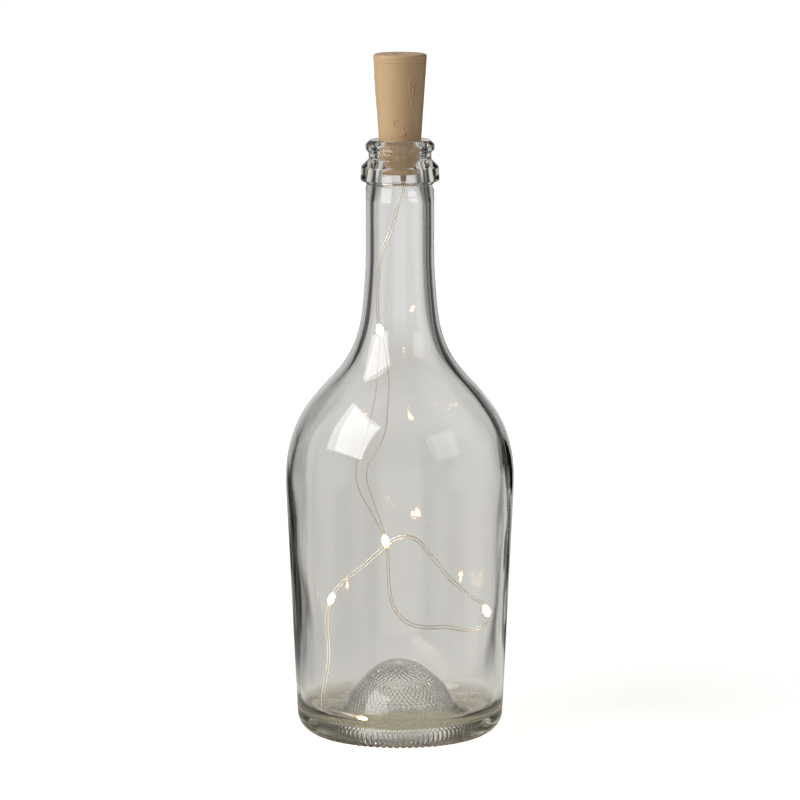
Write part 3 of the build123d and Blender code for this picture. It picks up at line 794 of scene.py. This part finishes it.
def makeLights(name, pieceMesh, nodes, slot, tree):
    places, ways = lightPlaces()
    data = bpy.data.meshes.new(name)
    data.from_pydata([p * mm for p in places], [], [])
    for label, vectors in (("way", ways), ("left", [leftOf(w) for w in ways])):
        layer = data.attributes.new(label, "FLOAT_VECTOR", "POINT")
        for item, vector in zip(layer.data, vectors):
            item.vector = vector
    template = meshObject(name + "Template", pieceMesh)
    thing = meshObject(name, data)
    bakeNodes(thing, tree, {"Piece": template, "Size": 1.0, "Finish": looks[slot]}, looks[slot])
    bpy.data.objects.remove(template)
    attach(thing, "stopper")
    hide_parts(*nodes)
    return thing


copyLights = lightsTree()
beadNodes, chipNodes = [[f"led_{kind}_{i}" for i in range(1, 6)] for kind in ("bead", "chip")]
drops = makeLights("resinDrops", dropMesh(), beadNodes, "clear_resin", copyLights)
chips = makeLights("ledChips", chipMesh(), chipNodes, "led_phosphor", copyLights)
feedWire = makeWire("feedWire", 1, "feed_wire")
returnWire = makeWire("returnWire", -1, "return_wire")
print("string made")


stopper = {
    "topRadius": 11.27,
    "top": 288.0,
    "taper": 0.067,
    "veinRadius": 0.40,
    "veinSink": 0.12,
    # patches of raised cork grain: degrees round from the front, lowest and highest point, width, veins
    "patches": [
        (29, 267.5, 282.0, 3.8, 34), (-11, 258.6, 262.6, 1.6, 6), (7, 254.6, 258.4, 2.8, 12),
        (118, 262.0, 276.0, 3.2, 26), (171, 256.0, 264.0, 3.0, 14), (-96, 266.0, 280.0, 3.4, 28),
        (-150, 257.0, 268.0, 2.4, 16),
    ],
    "seed": 7,
}


def veinLines():
    # short ragged lines that wander down the side, as points with a thickness and runs between them
    chance = np.random.default_rng(stopper["seed"])
    points, thickness, runs = [], [], []
    for degrees, low, high, width, count in stopper["patches"]:
        for _ in range(count):
            height = chance.uniform(low, high)
            across = chance.uniform(-0.5, 0.5) * width
            length = chance.uniform(4, 9)
            way = -1 if chance.random() < 0.5 else 1
            for step in range(int(length)):
                radius = stopper["topRadius"] - stopper["taper"] * (stopper["top"] - height)
                angle = math.radians(degrees) + across / radius
                if step:
                    runs.append((len(points) - 1, len(points)))
                radius -= stopper["veinSink"]
                points.append((radius * math.sin(angle) * mm, -radius * math.cos(angle) * mm, height * mm))
                thickness.append(chance.uniform(0.55, 1.0) * (0.5 if step in (0, int(length) - 1) else 1.0))
                height = max(height - chance.uniform(0.25, 0.6), low)
                across += way * chance.uniform(0.0, 0.45)
                way = -way if chance.random() < 0.55 else way
    return points, thickness, runs


def veinTree():
    # a round bead along every line
    sockets = {"Vein Radius": "NodeSocketFloat", "Finish": "NodeSocketMaterial"}
    tree, inputs = treeWithInputs("raisedGrain", sockets)
    given = inputs.outputs
    lines = addNode(tree, "GeometryNodeMeshToCurve", {"Mesh": given["Geometry"]})
    thick = addNode(tree, "GeometryNodeInputNamedAttribute", {"Name": "thickness"}, data_type="FLOAT")
    sized = addNode(tree, "GeometryNodeSetCurveRadius", {"Curve": lines, "Radius": thick})
    ringInputs = {"Resolution": 8, "Radius": given["Vein Radius"]}
    ring = addNode(tree, "GeometryNodeCurvePrimitiveCircle", ringInputs)
    bead = addNode(
        tree,
        "GeometryNodeCurveToMesh",
        {"Curve": sized, "Profile Curve": ring.outputs["Curve"], "Scale": thick, "Fill Caps": True},
    )
    closeTree(tree, addNode(tree, "GeometryNodeSetShadeSmooth", {"Geometry": bead}), given["Finish"])
    return tree


def makeGrain():
    points, thickness, runs = veinLines()
    data = bpy.data.meshes.new("stopperGrain")
    data.from_pydata(points, runs, [])
    layer = data.attributes.new("thickness", "FLOAT", "POINT")
    for item, value in zip(layer.data, thickness):
        item.value = value
    grain = meshObject("stopperGrain", data)
    values = {"Vein Radius": stopper["veinRadius"] * mm, "Finish": corkPlastic}
    bakeNodes(grain, veinTree(), values, corkPlastic)
    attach(grain, "stopper")
    return grain


stopperGrain = makeGrain()
print("stopper's grain raised:", len(stopperGrain.data.polygons), "faces")

for item in frame["record"]["subparts"]:
    node = frame["nodes"][item["node"]]
    node.data.materials.clear()
    node.data.materials.append(looks[item["material_slot"]])
print("finishes set")


studio = {
    "nearWall": 0.62,  # level of the pale table as glass shows it, close by and far off
    "farWall": 0.70,
    "nearColor": "#FFFDF9",
    "plain": "#FFFFFF",
    "ceiling": 0.35,
    "paintedShadeAndLightUnderBottle": ("#B0A68C", "#DCD4BE"),  # painted shade under the bottle and painted spots of the lights' glow on the table, both seen only through glass
    "paintedSparkSize": 2.6,
    "paintedSparkSpread": (0.38, 0.62),
    "fill": 0.12,
    "floorColor": "#F2F2F0",
    "floorGlow": 0.62,  # the floor's own light close by, which rises to 1 where it meets the background
    "floorReach": 8.0,
    # distances on the table in metres over which one look turns into the next
    "glowZone": (0.15, 0.7),
    "farZone": (0.7, 1.2),
    "cardFreeZone": (0.10, 0.20),
    "paintedShadeZone": (0.036, 0.10),
    "ceilingZone": (0.12, 0.45),  # how steeply a ray climbs, as the height of its unit vector
    # dark cards round the table, as degrees from straight behind and the share of the wall's level there
    "nearCards": [
        (-160, 1), (-154, 0.3), (-144, 0.3), (-136, 1), (-128, 0.3), (-116, 0.3), (-108, 1), (-66, 1),
        (-60, 0.3), (-54, 0.3), (-50, 0.5), (-47, 0.5), (-43, 0.02), (-28, 0.02), (-20, 0.8), (-8, 0.95),
        (19, 1.06), (25, 0.01), (35, 0.01), (38, 1.0), (54, 1.0), (58, 0.3), (62, 0.3), (70, 1), (108, 1),
        (116, 0.3), (128, 0.3), (136, 1), (144, 0.3), (154, 0.3), (160, 1),
    ],
    "farCards": [
        (-160, 1), (-152, 0.4), (-130, 0.4), (-122, 1), (-62, 1), (-56, 0.03), (-38, 0.03), (-33, 0.55),
        (-26, 0.66), (-14, 0.95), (8, 1.06), (17, 0.8), (22, 0.25), (30, 0.03), (42, 0.03), (45, 0.3),
        (51, 0.3), (54, 0.06), (62, 0.06), (70, 1), (122, 1), (130, 0.4), (152, 0.4), (160, 1),
    ],
}


def cardLevel(tree, vector, stops):
    # what glass shows of the studio in one direction: pale, with dark cards at some angles
    axes = addNode(tree, "ShaderNodeSeparateXYZ", {0: vector})
    angle = mathNode(tree, "ARCTAN2", axes.outputs["X"], axes.outputs["Y"])
    turn = mathNode(tree, "DIVIDE", angle, 2 * math.pi)
    cards = addNode(tree, "ShaderNodeValToRGB", {0: mathNode(tree, "ADD", turn, 0.5)})
    ramp = cards.color_ramp
    while len(ramp.elements) < len(stops):
        ramp.elements.new(0.5)
    for element, (degrees, share) in zip(ramp.elements, stops):
        element.position = degrees / 360 + 0.5
        element.color = (share, share, share, 1)
    return cards


def scaledCards(tree, vector, cards, wall):
    return mathNode(tree, "MULTIPLY", cardLevel(tree, vector, studio[cards]), studio[wall])


def seenThroughGlass(tree, ray):
    return mathNode(tree, "MAXIMUM", ray.outputs["Is Glossy Ray"], ray.outputs["Is Transmission Ray"])


def floatMix(tree, share, first, second):
    return addNode(tree, "ShaderNodeMix", {0: share, 2: first, 3: second}, data_type="FLOAT")


def makeFloor():
    # a plain white table; glass sees its near part, its far part and a painted shade with painted light spots
    # under the bottle
    mesh = bpy.data.meshes.new("floor")
    reach = studio["floorReach"]
    corners = [(-reach, -reach, 0), (reach, -reach, 0), (reach, reach, 0), (-reach, reach, 0)]
    mesh.from_pydata(corners, [], [(0, 1, 2, 3)])
    material, tree = newMaterial("paleFloor")
    ray = addNode(tree, "ShaderNodeLightPath")
    place = objectPlace(tree)
    distance = addNode(tree, "ShaderNodeVectorMath", {0: place}, operation="LENGTH").outputs["Value"]
    paint = addNode(tree, "ShaderNodeBsdfDiffuse", {"Color": linearColor(studio["floorColor"])})
    lift = rangeNode(tree, distance, studio["floorGlow"], 1.0, *studio["glowZone"])
    shine = mathNode(tree, "MULTIPLY", ray.outputs["Is Camera Ray"], lift)
    glow = addNode(tree, "ShaderNodeEmission", {"Color": linearColor(studio["plain"]), "Strength": shine})
    lit = addNode(tree, "ShaderNodeAddShader", {0: paint, 1: glow})
    far = rangeNode(tree, distance, 0.0, 1.0, *studio["farZone"])
    near = scaledCards(tree, place, "nearCards", "nearWall")
    level = floatMix(tree, far, near, scaledCards(tree, place, "farCards", "farWall"))
    close = rangeNode(tree, distance, 1.0, 0.0, *studio["cardFreeZone"])
    table = floatMix(tree, close, level, studio["nearWall"])
    # painted shade and painted spots of the lights' glow on the table under the bottle, shown only to glass
    shade = rangeNode(tree, distance, 1.0, 0.0, *studio["paintedShadeZone"])
    paintedSparks = noiseNode(tree, place, studio["paintedSparkSize"], 2.0)
    spread = rangeNode(tree, paintedSparks, 0.0, 1.0, *studio["paintedSparkSpread"])
    paintedShadeAndSparks = colorMix(tree, spread, *studio["paintedShadeAndLightUnderBottle"])
    clear = colorMix(tree, far, studio["nearColor"], studio["plain"])
    tableColor = colorMix(tree, shade, clear, paintedShadeAndSparks)
    shown = addNode(tree, "ShaderNodeEmission", {"Color": tableColor, "Strength": table})
    either = {0: seenThroughGlass(tree, ray), 1: lit, 2: shown}
    closeMaterial(tree, addNode(tree, "ShaderNodeMixShader", either))
    mesh.materials.append(material)
    floor = meshObject("floor", mesh)


def makeWorld():
    # white behind everything; through glass the pale wall with dark cards
    world = bpy.data.worlds.new("studio")
    bpy.context.scene.world = world
    world.use_nodes = True
    tree = world.node_tree
    tree.nodes.clear()
    ray = addNode(tree, "ShaderNodeLightPath")
    way = addNode(tree, "ShaderNodeTexCoord").outputs["Generated"]
    steep = addNode(tree, "ShaderNodeSeparateXYZ", {0: way}).outputs["Z"]
    above = rangeNode(tree, steep, 1.0, studio["ceiling"], *studio["ceilingZone"])
    level = mathNode(tree, "MULTIPLY", scaledCards(tree, way, "farCards", "farWall"), above)
    lit = floatMix(tree, seenThroughGlass(tree, ray), studio["fill"], level)
    strength = floatMix(tree, ray.outputs["Is Camera Ray"], lit, 1.0)
    sky = addNode(tree, "ShaderNodeBackground", {"Color": (1, 1, 1, 1), "Strength": strength})
    addNode(tree, "ShaderNodeOutputWorld", {"Surface": sky})


lamps = {
    "leftSoftbox": {"spot": (-0.80, -0.42, 0.80), "size": (0.92, 0.80), "watts": 10.2},
    "rightPanel": {"spot": (0.85, -0.62, 0.70), "size": (0.55, 0.50), "watts": 1.0},
}
lampTarget = (0, 0, 0.14)


def makeLamp(name, spot, size, watts):
    data = bpy.data.lights.new(name, "AREA")
    data.shape = "RECTANGLE"
    data.size, data.size_y = size
    data.energy = watts
    lamp = bpy.data.objects.new(name, data)
    bpy.context.collection.objects.link(lamp)
    lamp.location = spot
    lamp.rotation_euler = (Vector(lampTarget) - Vector(spot)).to_track_quat("-Z", "Y").to_euler()


# the lens is in pixels of the photograph's width, solved from the bottle's outline
view = {
    "spot": (0, -1.85, 0.44),
    "target": (0, 0, 0.142),
    "lensPixels": 4447.8,
    "photoWidth": 800,
    "sensor": 36,
    "clipEnd": 50,
}


def makeCamera():
    data = bpy.data.cameras.new("camera")
    data.sensor_width = view["sensor"]
    data.lens = view["sensor"] * view["lensPixels"] / view["photoWidth"]
    data.clip_end = view["clipEnd"]
    camera = bpy.data.objects.new("camera", data)
    bpy.context.collection.objects.link(camera)
    camera.location = view["spot"]
    way = Vector(view["target"]) - Vector(view["spot"])
    camera.rotation_euler = way.to_track_quat("-Z", "Y").to_euler()
    bpy.context.scene.camera = camera


makeFloor()
makeWorld()
for name, values in lamps.items():
    makeLamp(name, **values)
makeCamera()
scene = bpy.context.scene
scene.view_settings.view_transform = "Standard"
scene.cycles.max_bounces = 24
scene.cycles.transmission_bounces = 20
scene.cycles.transparent_max_bounces = 24
print("stage set")
